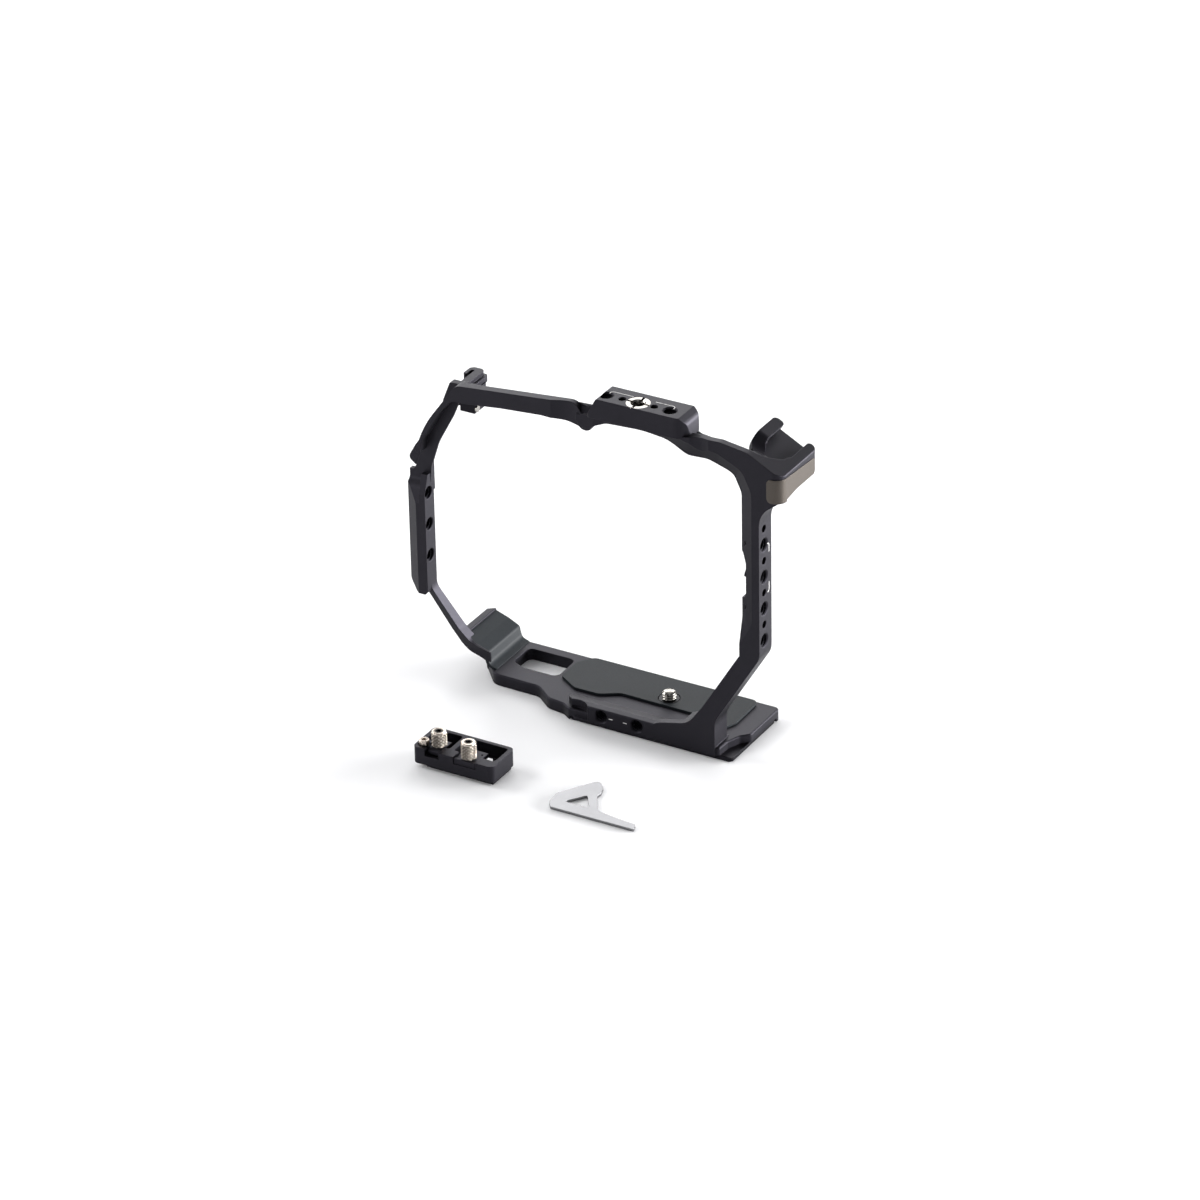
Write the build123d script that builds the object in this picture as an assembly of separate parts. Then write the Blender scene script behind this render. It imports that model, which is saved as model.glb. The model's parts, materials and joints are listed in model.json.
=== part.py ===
"""Camera cage for a camera body with a built-in vertical grip, with its cable clamp and flat key.

The origin is the axis of the camera screw at the level of the surface that the cage stands on.
X runs to the cold-shoe side, Y to the back of the camera, Z up. Lengths are millimetres.
"""
from build123d import *
import os

# Threads and hole pitches, from the quarter-inch accessory standard
inch = 25.4
accessory_pitch = 0.6 * inch      # between two 1/4"-20 holes of a row
pin_pitch = 0.3 * inch            # from a 1/4"-20 hole to the locating hole beside it
thread_bore_r = 2.75              # 1/4"-20 hole, wall at mid thread
thread_mouth_r = 3.35             # countersunk mouth of a 1/4"-20 hole
thread_depth = 8.0
locating_r = 1.65
locating_depth = 5.0
stud_r = 3.175                    # 1/4"-20 camera screw

# Planes of the ring
ring_front = -27.5
ring_back = -16.5
flange_front = -22.0              # set-back inner lip on the grip side
arm_land = 3.2                    # flat top of the two upper arms, before it falls to the back
arm_back = -18.0                  # back of the upper arm on the grip side

# Ring outline
column_x = 59.5                   # outer face of the right column
lip_x = 49.8                      # inner lip of the right column, beside the camera body
bar_x = -114.7                    # outer face of the grip-side bar
inner_left_x = -104.3             # its inner face, beside the camera body
block_top = 160.0
block_left = -17.5
block_right = 22.0
block_front = -28.5
block_back = -14.5
accessory_y = -23.0               # row of holes in the top block
bevel_back = 3.0                  # inner bevel of the ring, front to back
bar_back = -19.6                  # back of the grip-side bar

# Base
plate_top = 5.4
foot_top = 1.6
base_back = 16.6
base_front = -26.8
base_right = 45.5
base_left = -88.0
pad_thickness = 1.0
rail_top = 9.3
rail_slope_start = -24.0          # where the rail's top begins to fall to the base
rail_hole_z = 5.8
rail_hole_depth = 4.8
rail_hole_x = (-18.5, -0.9)

# Cold shoe, on the tilted corner block
shoe_left = (50.0, 153.6)         # outer top edge of the left lip, X and Z
shoe_right = (70.0, 143.0)        # outer top edge of the right lip
shoe_back = 4.6
shoe_front = -14.5                # front end of the floor between the lips
shoe_slot_front = -8.0            # front end of the undercut
shoe_middle = 12.0                # middle of the gap, from the left edge along the tilt
shoe_gap = 12.7
shoe_slot = 18.8
shoe_lip = 1.7                    # thickness of the lips
shoe_floor = -3.9                 # floor below the top of the lips
shoe_round = 4.5                  # radius of the block's outer front corner

# Loose pieces, where they lie in front of the cage
clamp_x = (-74.0, -34.2)
clamp_y = (-92.6, -73.6)
clamp_z = (1.8, 9.5)
usb_x = -64.4
hdmi_x = -48.2
key_thickness = 1.2


def outline_xz(corners, y):
    """A face in the X-Z plane at one Y, from (x, z, corner radius) values."""
    points = [(x, z) for x, z, radius in corners]
    radii = [radius for x, z, radius in corners]
    wire = FilletPolyline(points, radius=radii, close=True)
    return Plane((0, y, 0), x_dir=(1, 0, 0), z_dir=(0, -1, 0)) * make_face(wire)


def slab_y(corners, front, back):
    """A solid with an X-Z outline between two Y planes."""
    return extrude(outline_xz(corners, back), amount=back - front, dir=(0, -1, 0))


def slab_z(corners, bottom, top):
    """A solid with an X-Y outline between two heights."""
    points = [(x, y) for x, y, radius in corners]
    radii = [radius for x, y, radius in corners]
    wire = FilletPolyline(points, radius=radii, close=True)
    return extrude(Plane((0, 0, bottom)) * make_face(wire), amount=top - bottom, dir=(0, 0, 1))


def slab_x(corners, left, right):
    """A solid with a Y-Z outline between two X planes."""
    points = [(y, z) for y, z, radius in corners]
    radii = [radius for y, z, radius in corners]
    wire = FilletPolyline(points, radius=radii, close=True)
    face = Plane((left, 0, 0), x_dir=(0, 1, 0), z_dir=(1, 0, 0)) * make_face(wire)
    return extrude(face, amount=right - left, dir=(1, 0, 0))


def block(x, y, z):
    """An axis-aligned box from three (low, high) pairs."""
    return Pos(x[0], y[0], z[0]) * Box(
        x[1] - x[0], y[1] - y[0], z[1] - z[0], align=(Align.MIN, Align.MIN, Align.MIN))


def rod(radius, start, axis, length):
    """A cylinder from a start point along an axis."""
    return extrude(Plane(start, z_dir=axis) * Circle(radius), amount=length)


def blind_hole(mouth, axis_in, radius, depth, mouth_r):
    """A drilled hole with a countersunk mouth, as the solid to take away."""
    drill = rod(radius, mouth, axis_in, depth)
    flare = mouth_r - radius
    plane = Plane(mouth, z_dir=axis_in)
    cone = loft([plane * Circle(mouth_r), plane.offset(flare) * Circle(radius)])
    return drill + cone


def back_slope(left, right, front, back, left_drop, right_drop):
    """Wedge that lets the top of an arm fall to the back, along a line between two (x, z) points."""
    run = Vector(right[0] - left[0], 0, right[1] - left[1])
    plane = Plane((left[0], 0, left[1]), x_dir=(0, 1, 0), z_dir=run)
    ends = []
    for place, drop in ((0, left_drop), (run.length, right_drop)):
        section = make_face(Polyline((front, 0), (back + 1, -drop), (back + 1, 8), (front, 8), close=True))
        ends.append(plane.offset(place) * section)
    return loft(ends, ruled=True)


# Cage frame

def right_half():
    """Right arm, right column, shoulder and the arch under the top block."""
    corners = [
        (37.5, 0, 0), (37.5, 18.5, 10), (column_x, 54.6, 9), (column_x, 124.0, 12),
        (shoe_right[0], 131.8, 2), (*shoe_right, 0.8), (54.0, 151.48, 12),
        (41.0, 153.4, 10), (31.0, 152.8, 8), (22.0, 151.2, 0),
        (-22.5, 150.8, 0), (-22.5, 145.4, 0), (-14.0, 148.0, 12), (4.0, 148.5, 20),
        (14.5, 147.2, 12), (24.0, 142.0, 8), (34.0, 142.5, 10), (46.0, 138.8, 6),
        (lip_x, 130.5, 6), (lip_x, 54.0, 0), (31.5, 23.9, 14), (24.5, 14.2, 10),
        (4.0, rail_top, 12), (2.0, 0, 0)]
    half = slab_y(corners, ring_front, ring_back)
    half = half - back_slope((20.0, 152.7), (43.0, 153.4), ring_front + arm_land, ring_back, 4.4, 6.4)
    half = half - back_slope((39.0, 153.7), (54.5, 151.4), ring_front + arm_land, ring_back, 6.4, 5.8)
    front_opening = [
        (56.0, 70.0, 10), (56.0, 133.0, 8), (51.6, 142.4, 8), (40.0, 147.8, 8), (25.0, 149.6, 6),
        (14.0, 152.8, 15), (0.0, 153.8, 20), (-19.5, 151.6, 4), (-19.5, 120.0, 0), (20.0, 60.0, 0),
        (45.0, 52.0, 0)]
    bevel = extrude(outline_xz(front_opening, ring_front), amount=bevel_back, dir=(0, 1, 0), taper=64)
    rail_relief = slab_x([(rail_slope_start, rail_top, 0), (-14.0, plate_top - 0.2, 0),
                          (-10.0, plate_top - 0.2, 0), (-10.0, 30.0, 0), (rail_slope_start, 30.0, 0)],
                         1.0, 21.0)
    scoop = rod(12.0, (31.2, ring_front - 11.1, 140.0), (0, 0, 1), 16.0)
    return half - bevel - rail_relief - scoop


def port_notch():
    """Relief in the right lip, opposite the doors of the camera's ports."""
    corners = [(40.0, 81.0, 0), (50.8, 81.0, 1.5), (52.2, 83.5, 1.5), (52.2, 98.0, 3),
               (50.0, 104.0, 3), (40.0, 104.0, 0)]
    return slab_y(corners, ring_front - 1, ring_back + 1)


def top_block():
    """Raised accessory block over the lens."""
    corners = [(-22.6, 150.6, 0), (block_left, block_top, 1.0), (block_right, block_top, 0.3),
               (24.8, 157.2, 4), (25.8, 150.6, 0)]
    front_view = slab_y(corners, block_front, block_back)
    plan = slab_z([(-22.6, block_front, 2), (25.8, block_front, 6), (25.8, block_back, 3.5),
                   (-22.6, block_back, 2)], 140, block_top + 1)
    flare = slab_y([(22.0, 155.0, 0), (25.0, 149.4, 5), (33.0, 148.4, 0), (22.0, 148.0, 0)], -24.0, ring_back)
    return (front_view & plan) + flare


def tilted(solid):
    """Carry a solid from the cold shoe's own frame to its place: X along the tilt, Z up from the lips."""
    run = Vector(shoe_right[0] - shoe_left[0], 0, shoe_right[1] - shoe_left[1]).normalized()
    return Plane((shoe_left[0], 0, shoe_left[1]), x_dir=run, z_dir=run.cross(Vector(0, 1, 0))) * solid


def shoe_envelope():
    """Outside of the tilted corner block behind the ring, over both lips."""
    front_view = slab_y([(*shoe_left, 0), (*shoe_right, 0.8), (shoe_right[0], 132.0, 0.8), (60.5, 139.5, 6),
                         (47.3, 147.2, 2.5)], ring_back - 0.5, shoe_back)
    plan = slab_z([(40.0, ring_back - 1, 0), (shoe_right[0], ring_back - 1, 0),
                   (shoe_right[0], shoe_back, 2.5), (40.0, shoe_back, 0)], 120, 160)
    return front_view & plan


def shoe_base():
    """Corner block up to the floor of the shoe."""
    plan = slab_z([(0.3, -13.6, 6), (6.0, ring_back - 3.5, 0), (40.0, ring_back - 3.5, 0),
                   (40.0, shoe_back, 0), (0.3, shoe_back, 2.5)], -40, shoe_floor)
    return shoe_envelope() & tilted(plan)


def shoe_undercut(left, right):
    """Part of the T-slot under one lip, in the shoe's own frame."""
    return block((left, right), (shoe_slot_front, shoe_back + 1), (shoe_floor, -shoe_lip))


def shoe_left_lip():
    """Left wall of the shoe; its front runs down to the floor in an S and widens to the right."""
    inner = shoe_middle - shoe_gap / 2
    plan = slab_z([(0.3, -13.6, 6), (6.0, ring_back - 3.5, 0), (inner + 3.4, ring_back - 3.5, 0),
                   (inner + 3.4, -14.6, 2), (inner, -11.6, 2.5), (inner, shoe_back, 2),
                   (0.3, shoe_back, 2.5)], shoe_floor - 0.2, 0)
    side_view = slab_x([(shoe_back + 1, 0, 0), (-10.2, 0, 2.6), (-14.2, shoe_floor, 2.6),
                        (-21.0, shoe_floor, 0), (-21.0, -6.0, 0), (shoe_back + 1, -6.0, 0)], -2, 14)
    return tilted((plan & side_view) - shoe_undercut(shoe_middle - shoe_slot / 2, shoe_middle))


def shoe_right_lip():
    """Right wall of the shoe, which runs on round the front of the floor."""
    inner = shoe_middle + shoe_gap / 2
    plan = slab_z([(inner, shoe_back, 2), (inner, shoe_front, 4), (6.0, shoe_front, 0),
                   (6.0, ring_back - 0.5, 0), (40.0, ring_back - 0.5, 0), (40.0, shoe_back, 0)],
                  shoe_floor - 0.2, 1)
    wall = plan - shoe_undercut(shoe_middle, shoe_middle + shoe_slot / 2)
    return shoe_envelope() & tilted(wall)


def shoe_apron():
    """What the top in front of the shoe leaves out: a twisted ramp that runs out towards the right lip."""
    sections = []
    for along, crest, foot in ((-6.0, -24.3, -17.4), (9.0, -22.8, -16.2), (17.2, -15.4, -14.5)):
        plane = Plane((along, 0, 0), x_dir=(0, 1, 0), z_dir=(1, 0, 0))
        wire = Polyline((crest, 0), (foot, shoe_floor), (-12.0, shoe_floor), (-12.0, 3.0), (crest, 3.0),
                        close=True)
        sections.append(plane * make_face(wire))
    return tilted(loft(sections))


def shoe_corner():
    """What the round front corner of the shoe block leaves out."""
    middle = (shoe_right[0] - shoe_round, ring_front + shoe_round)
    corner = block((middle[0], shoe_right[0] + 1), (ring_front - 1, middle[1]), (125, 146))
    return corner - rod(shoe_round, (*middle, 124), (0, 0, 1), 24)


def left_arm():
    """Upper arm on the grip side, with the round rest that meets the camera's hump."""
    front_corners = [(-24.4, 149.7, 0), (-29.2, 154.9, 5), (-84.5, 149.7, 0), (-84.5, 141.6, 0),
                     (-64.7, 144.0, 0), (-45.0, 145.5, 20), (-33.0, 145.2, 8), (-26.4, 144.2, 0)]
    front = slab_y(front_corners, ring_front, -23.5)
    rear_corners = [(-19.0, 151.5, 0), (-30.0, 154.8, 8), (-84.5, 149.7, 0), (-84.5, 141.6, 0),
                    (-64.7, 144.0, 0), (-45.0, 145.5, 20), (-33.0, 145.2, 8), (-26.0, 144.6, 0),
                    (-19.0, 147.0, 0)]
    rear = slab_y(rear_corners, -24.0, arm_back)
    rear = rear - back_slope((-86.0, 149.6), (-19.0, 155.9), ring_front + 2.4, arm_back, 5.2, 5.2)
    rest = rod(3.8, (-23.4, arm_back, 147.2), (0, -1, 0), arm_back - ring_front)
    scoop = rod(24.0, (-32.0, ring_front - 22.6, 140.0), (0, 0, 1), 20.0)
    valley = slab_x([(ring_front, 150.2, 0), (-23.0, 153.3, 0), (-23.0, 147.0, 0),
                     (ring_front, 147.0, 0)], -28.0, -20.0)
    return (front - scoop) + rear + rest + valley


def left_corner():
    """Corner above the grip: a narrow front rib on a set-back flange."""
    rib_corners = [(-83.0, 149.83, 0), (-87.0, 149.45, 5), (-103.3, 126.9, 55), (-108.4, 113.0, 0.8),
                   (-106.1, 112.2, 0.8), (-104.6, 119.2, 8), (-95.4, 134.8, 30), (-89.2, 141.9, 6),
                   (-83.0, 141.8, 0)]
    rib = slab_y(rib_corners, ring_front, flange_front + 0.4)
    flange_corners = [(-83.0, 148.8, 0), (-86.6, 148.4, 5), (-102.7, 126.4, 50), (-107.6, 112.8, 0),
                      (-108.8, 96.0, 0), (inner_left_x, 96.0, 0), (-103.8, 104.0, 10),
                      (-99.6, 117.0, 30), (-91.8, 131.4, 4), (-87.6, 141.4, 3), (-83.0, 142.6, 0)]
    flange = slab_y(flange_corners, flange_front, flange_front + 1.0)
    rear_corners = [(-83.0, 146.4, 0), (-86.6, 146.0, 4), (-101.6, 125.6, 50), (-106.8, 112.2, 0),
                    (-108.2, 99.0, 0), (-106.0, 99.0, 0), (-105.4, 106.0, 10),
                    (-101.4, 118.0, 30), (-93.4, 133.2, 4), (-88.9, 141.2, 2), (-83.0, 141.6, 0)]
    rear = slab_y(rear_corners, flange_front + 0.7, ring_back)
    return rib + flange + rear


def strap_lug():
    """Round lug behind the corner, outside the strap slot."""
    corners = [(-106.0, 122.0, 0), (-113.5, 111.0, 6), (-117.2, 104.5, 2.5), (-113.5, 101.5, 2),
               (-107.0, 103.0, 0), (-103.0, 115.0, 0)]
    return slab_y(corners, -19.0, ring_back)


def left_neck():
    """Set-back neck between the corner and the bar."""
    corners = [(-106.0, 112.5, 0), (-109.5, 108.5, 3), (-111.5, 103.0, 4), (bar_x, 98.0, 2),
               (bar_x, 92.0, 0), (inner_left_x, 92.0, 0), (inner_left_x, 112.0, 0)]
    return slab_y(corners, flange_front, bar_back + 1)


def left_bar():
    """Thick bar beside the grip, ramped at its top and chamfered towards the front."""
    corners = [(bar_x, 101.0, 0), (inner_left_x, 101.0, 0), (inner_left_x, 45.0, 1.2), (-105.6, 43.4, 0.8),
               (-109.8, 43.4, 4), (bar_x, 48.0, 3)]
    bar = slab_y(corners, ring_front, bar_back)
    ramp = slab_x([(ring_front - 1, 86.0, 0), (ring_front, 87.6, 0), (-24.6, 95.0, 5),
                   (flange_front, 97.0, 3), (flange_front, 104.0, 0), (ring_front - 1, 104.0, 0)],
                  bar_x - 3, -107.4)
    rib_ramp = slab_x([(ring_front - 1, 90.6, 0), (ring_front, 92.6, 0), (flange_front, 108.0, 0),
                       (ring_front - 1, 110.0, 0)], -107.5, inner_left_x + 1)
    ramp = ramp + rib_ramp
    front_chamfer = slab_z([(-108.9, ring_front, 0), (bar_x, -24.0, 0), (bar_x - 4, -24.0, 0),
                            (bar_x - 4, ring_front - 2, 0), (-108.9, ring_front - 2, 0)], 40, 102)
    return bar - ramp - front_chamfer


def lower_arm():
    """Lower arm on the grip side, which sweeps back to the base as it comes down."""
    front_view = slab_y([(-109.0, 52.0, 0), (-106.6, 43.8, 4), (-99.3, 23.5, 14), (-94.6, 12.6, 9),
                         (-82.0, 9.0, 0), (-82.0, 13.6, 0), (-91.0, 16.6, 7), (-95.6, 24.0, 12),
                         (inner_left_x, 46.0, 10), (inner_left_x, 52.0, 0)], -40, 20)
    side_view = slab_x([(-24.5, 60.0, 0), (-24.5, 46.0, 16), (-13.4, 13.5, 12), (-13.4, 0, 0),
                        (-7.0, 0, 0), (-8.0, 14.5, 12), (bar_back, 45.0, 16), (bar_back, 60.0, 0)], -120, -70)
    return front_view & side_view


# Line that the corner pad is bonded to, X and Z
seat_line = [(-79.6, 4.4, 0), (-84.6, 6.3, 3), (-86.0, 11.2, 2), (-90.5, 13.5, 3), (-96.3, 15.7, 0)]
# Rough top of the bracket, which the seat is then cut into
rough_line = [(-96.3, 17.0, 0), (-90.0, 15.6, 0), (-84.4, 13.6, 0), (-80.2, 7.0, 0)]


def corner_bracket():
    """Curved seat at the grip-side end of the base, under the camera's lower corner."""
    corners = [(-80.2, 0, 0), (base_left, 0, 2), (base_left - 0.4, 5.0, 2), (-100.0, 13.2, 4),
               (-100.0, 18.2, 0.8), (-96.3, 18.2, 0.4)]
    back = slab_y(corners + rough_line, -6.5, base_back)
    back_corner = slab_z([(-101, 12.5, 0), (-95.5, base_back, 0), (-95.5, base_back + 1, 0),
                          (-101, base_back + 1, 0)], -1, 20)
    front_corners = [(-80.2, 3.1, 0), (-82.5, 7.5, 3), (-91.0, 11.4, 4), (-96.3, 14.4, 0)]
    front = slab_y(front_corners + rough_line, -12.5, -6.4)
    return back - back_corner + front


def base_plate():
    """Flat base with its window and the stepped front edge."""
    corners = [(base_left + 2, base_back, 1), (base_left - 1.2, -4.5, 5), (-79.0, -15.8, 6),
               (-56.0, -16.2, 6), (-47.5, -23.0, 5), (-39.0, -24.2, 4), (-35.0, base_front, 2),
               (39.3, base_front, 1), (39.6, -19.5, 2), (42.0, -13.2, 3), (base_right, -9.5, 1.5),
               (base_right, base_back, 2)]
    plate = slab_z(corners, 0, plate_top)
    plate = chamfer(plate.faces().sort_by(Axis.Z)[-1].edges(), 0.5)
    window = slab_z([(-77.0, 11.3, 3), (-77.0, -2.5, 3), (-70.0, -5.2, 4), (-53.2, -5.2, 3),
                     (-53.2, 11.3, 3)], -1, plate_top + 1)
    return plate - window


def pad_seat():
    """Clearance over the curved seat, where the corner pad lies."""
    return slab_y(seat_line + [(-96.3, 17.4, 0), (-92.0, 18.6, 0), (-79.6, 18.6, 0)], -12.6, base_back + 1)


def front_rail():
    """Raised rail along the front of the base, with two threaded holes."""
    section = slab_x([(base_front - 0.7, 0.8, 0), (base_front - 0.7, rail_top, 0.5),
                      (rail_slope_start, rail_top, 0.5), (-14.0, plate_top - 0.2, 0), (-14.0, 0.8, 0)],
                     -38.5, 38.5)
    plan = slab_z([(-38.4, -13.0, 0), (-38.4, -21.0, 5), (-32.0, base_front - 0.7, 3),
                   (37.5, base_front - 0.7, 0), (37.5, -13.0, 0)], 0, 20)
    scoop = rod(7.0, (-31.0, -31.2, 2.4), (0, 0, 1), 10)
    return (section & plan) - scoop


def threaded_holes():
    """Every 1/4"-20 and locating hole of the frame, as the solid to take away."""
    cuts = []
    for side in (-1, 1):
        cuts.append(blind_hole((side * accessory_pitch, accessory_y, block_top), (0, 0, -1),
                               thread_bore_r, thread_depth, thread_mouth_r))
        cuts.append(blind_hole((side * pin_pitch, accessory_y, block_top), (0, 0, -1),
                               locating_r, locating_depth, locating_r + 0.2))
    for row in range(4):
        height = 61.8 + row * accessory_pitch
        cuts.append(blind_hole((column_x, -22.9, height), (-1, 0, 0),
                               thread_bore_r, thread_depth, thread_mouth_r))
        cuts.append(blind_hole((column_x, -22.9, height + pin_pitch), (-1, 0, 0),
                               locating_r, locating_depth, locating_r + 0.2))
    for row in range(3):
        height = 62.0 + row * accessory_pitch
        cuts.append(blind_hole((inner_left_x, -24.1, height), (-1, 0, 0),
                               thread_bore_r, 5.6 if row < 2 else 3.0, thread_bore_r + 0.3))
    for x in rail_hole_x:
        cuts.append(blind_hole((x, base_front - 0.7, rail_hole_z), (0, 1, 0),
                               thread_bore_r, rail_hole_depth, thread_mouth_r))
    return cuts


insert_y = accessory_y
insert_r = 5.25
insert_depth = 7.0
screw_head_r = 6.8
screw_head_z = (0.3, 3.2)
screw_hole_r = 3.5
neck_r = 2.9
thread_start = 6.35
stud_tip = 9.9
clip_r = 4.5
clip_z = (5.7, 6.3)
foot_x = (-34.6, 45.2)
foot_y = (-26.6, 13.4)
foot_screw_xy = [(-29.0, -21.5), (32.5, -21.5), (-29.0, 8.5), (32.5, 8.5)]
foot_screw_r = 1.25
magnet_xy = [(-46.0, -9.0), (-46.0, 6.0)]
magnet_r = 2.5
magnet_z = (0.4, 2.4)


def frame_pockets():
    """Seats for the pieces fitted to the frame."""
    pockets = [rod(insert_r, (0, insert_y, block_top), (0, 0, -1), insert_depth)]
    pockets.append(rod(screw_head_r + 0.3, (0, 0, -1), (0, 0, 1), 1 + screw_head_z[1] + 0.2))
    pockets.append(rod(screw_hole_r, (0, 0, 0), (0, 0, 1), 20))
    pockets.append(block((foot_x[0], foot_x[1] + 2), (foot_y[0] - 2, foot_y[1]), (-1, foot_top)))
    for x, y in foot_screw_xy:
        pockets.append(rod(foot_screw_r, (x, y, 0), (0, 0, 1), 4.6))
    for x, y in magnet_xy:
        pockets.append(rod(magnet_r, (x, y, -1), (0, 0, 1), 1 + magnet_z[1]))
    return pockets


def frame():
    """The ring and base, machined as one piece."""
    solid = right_half() + top_block() + left_arm() + left_corner() + strap_lug() + left_bar() + left_neck()
    solid = solid + lower_arm() + corner_bracket() + base_plate() + front_rail()
    solid = solid + shoe_base() + shoe_right_lip()
    solid = solid - shoe_apron() + shoe_left_lip()
    solid = solid - pad_seat() - port_notch() - shoe_corner()
    for cut in threaded_holes() + frame_pockets():
        solid = solid - cut
    return solid


# Pieces fitted to the frame

def corner_plate():
    """Thin bare plate bent round the outer front corner of the shoe block."""
    skin = 0.3
    wall = slab_z([(63.3, ring_front - skin, 0),
                   (shoe_right[0] + skin, ring_front - skin, shoe_round + skin),
                   (shoe_right[0] + skin, 2.0, 0), (shoe_right[0], 2.0, 0),
                   (shoe_right[0], ring_front, shoe_round), (63.3, ring_front, 0)], 128, 146)
    side = slab_x([(-24.5, 131.2, 2), (-14.0, 132.6, 8), (2.0, 132.6, 1.5), (2.0, 139.9, 1.5),
                   (-24.5, 141.6, 0.5)], 60, 75)
    front = slab_y([(63.3, 141.6, 2.2), (63.3, 130.6, 2.2), (80.0, 130.6, 0), (80.0, 141.6, 0)], -30, -22.5)
    return wall & (side + front)


def top_insert():
    """Hard threaded insert in the middle of the top block, flush with its face."""
    insert = rod(insert_r, (0, insert_y, block_top - insert_depth), (0, 0, 1), insert_depth)
    insert = insert - rod(thread_bore_r, (0, insert_y, 150), (0, 0, 1), 12)
    insert = insert - blind_hole((0, insert_y, block_top), (0, 0, -1), thread_bore_r, 3, thread_mouth_r)
    for turn in (0, 90):
        slot = Pos(0, insert_y, block_top) * Rot(0, 0, turn) * Box(2 * insert_r + 1, 1.2, 2.0)
        insert = insert - slot
    return insert


def base_pad():
    """Rubber sheet under the camera."""
    sheet = slab_z([(-51.3, -4.7, 2), (-41.0, -11.3, 4), (-29.0, -11.3, 4), (-20.5, -6.2, 4), (16.5, -6.6, 6),
                    (27.0, -11.9, 5), (33.0, -11.9, 3), (35.8, -5.0, 3), (35.5, 15.7, 3),
                    (-46.0, 15.7, 4), (-51.3, 9.0, 3)], plate_top, plate_top + pad_thickness)
    return sheet - rod(clip_r + 0.4, (0, 0, 0), (0, 0, 1), 10)


def corner_pad():
    """Rubber sheet on the curved seat at the grip-side end of the base."""
    face_line = [(-96.3, 17.2, 0), (-90.0, 15.0, 3), (-84.4, 12.3, 2), (-83.3, 7.0, 3), (-79.6, 5.7, 0)]
    sheet = slab_y(seat_line + face_line, -12.4, base_back - 0.6)
    return sheet


def camera_screw():
    """Captive 1/4"-20 screw with a coin slot in its head."""
    screw = rod(screw_head_r, (0, 0, screw_head_z[0]), (0, 0, 1), screw_head_z[1] - screw_head_z[0])
    shank = rod(stud_r, (0, 0, thread_start), (0, 0, 1), stud_tip - thread_start)
    tip = shank.faces().sort_by(Axis.Z)[-1].edges()
    shank = chamfer(tip, 0.7) + rod(neck_r, (0, 0, 1.0), (0, 0, 1), thread_start - 0.8)
    slot = block((-screw_head_r - 1, screw_head_r + 1), (-1.2, 1.2), (-1, screw_head_z[0] + 1.3))
    return screw + shank - slot


def screw_clip():
    """Ring that keeps the camera screw in the base."""
    ring = rod(clip_r, (0, 0, clip_z[0]), (0, 0, 1), clip_z[1] - clip_z[0])
    return ring - rod(neck_r, (0, 0, 0), (0, 0, 1), 10)


def foot_plate():
    """Bottom plate, narrower at its top so that a clamp can grip its long edges."""
    undercut = 0.9
    plate = slab_x([(foot_y[0], 0, 0), (foot_y[1], 0, 0), (foot_y[1], 0.5, 0),
                    (foot_y[1] - undercut, foot_top, 0), (foot_y[0] + undercut, foot_top, 0),
                    (foot_y[0], 0.5, 0)], *foot_x)
    plan = slab_z([(foot_x[0], foot_y[0], 2), (foot_x[1], foot_y[0], 2), (foot_x[1], foot_y[1], 2),
                   (foot_x[0], foot_y[1], 2)], -1, foot_top + 1)
    plate = (plate & plan) - rod(screw_head_r + 0.5, (0, 0, -1), (0, 0, 1), 5)
    for x, y in foot_screw_xy:
        plate = plate - foot_screw(x, y)
    return plate


def foot_screw(x, y):
    """One countersunk screw, head down."""
    head_r = 2.3
    head = loft([Plane((x, y, 0.15)) * Circle(head_r), Plane((x, y, 1.2)) * Circle(foot_screw_r)])
    return head + rod(foot_screw_r, (x, y, 1.1), (0, 0, 1), 3.4)


def foot_screws():
    """The four countersunk screws that hold the foot plate, each with a hexagon socket."""
    screws = []
    for x, y in foot_screw_xy:
        socket = extrude(Plane((x, y, 0)) * RegularPolygon(0.8, 6), amount=1.2)
        screws.append(foot_screw(x, y) - socket)
    return Compound(children=screws)


def key_magnets():
    """Two disc magnets under the base."""
    return Compound(children=[rod(magnet_r, (x, y, magnet_z[0]), (0, 0, 1), magnet_z[1] - magnet_z[0])
                              for x, y in magnet_xy])


hook_back = -13.2


def strap_hook():
    """Strap hook bolted behind the grip-side corner: a foot, a straight shank and a turned-back end."""
    foot = slab_y([(-96.4, 144.2, 1), (-86.0, 144.2, 0), (-86.0, 134.2, 0), (-92.0, 134.2, 0),
                   (-97.0, 130.0, 2), (-100.5, 134.0, 2)], ring_back, hook_back)
    upper = slab_z([(-92.7, ring_back, 0), (-92.7, -1.8, 0), (-94.4, -1.8, 1), (-94.4, -6.2, 0.5),
                    (-95.9, -6.2, 0.5), (-95.9, 0.9, 2.5), (-88.8, 0.9, 2.5), (-88.8, ring_back, 0)],
                   140.4, 144.2)
    middle = slab_z([(-91.5, ring_back, 0), (-91.5, 0.4, 1), (-87.2, 0.4, 1.5), (-87.2, ring_back, 0)],
                    139.6, 142.5)
    lower = slab_z([(-91.5, ring_back, 0), (-91.5, -2.5, 1), (-86.2, -2.5, 1.5), (-86.2, ring_back, 0)],
                   138.4, 140.5)
    return foot + upper + middle + lower


def hook_clamp():
    """Small block under the arm that pulls the hook against the ring."""
    body = block((-88.8, -81.6), (-21.0, hook_back), (134.4, 140.4))
    return body - block((-90.0, -86.0), (ring_back, hook_back + 1), (130, 145)) - hook_screw()


def hook_screw():
    """Screw through the hook's clamp block."""
    return rod(1.25, (-88.8, -19.4, 136.3), (1, 0, 0), 7.2) + rod(1.5, (-81.6, -19.4, 136.3), (1, 0, 0), 0.8)


# Cable clamp

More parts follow.
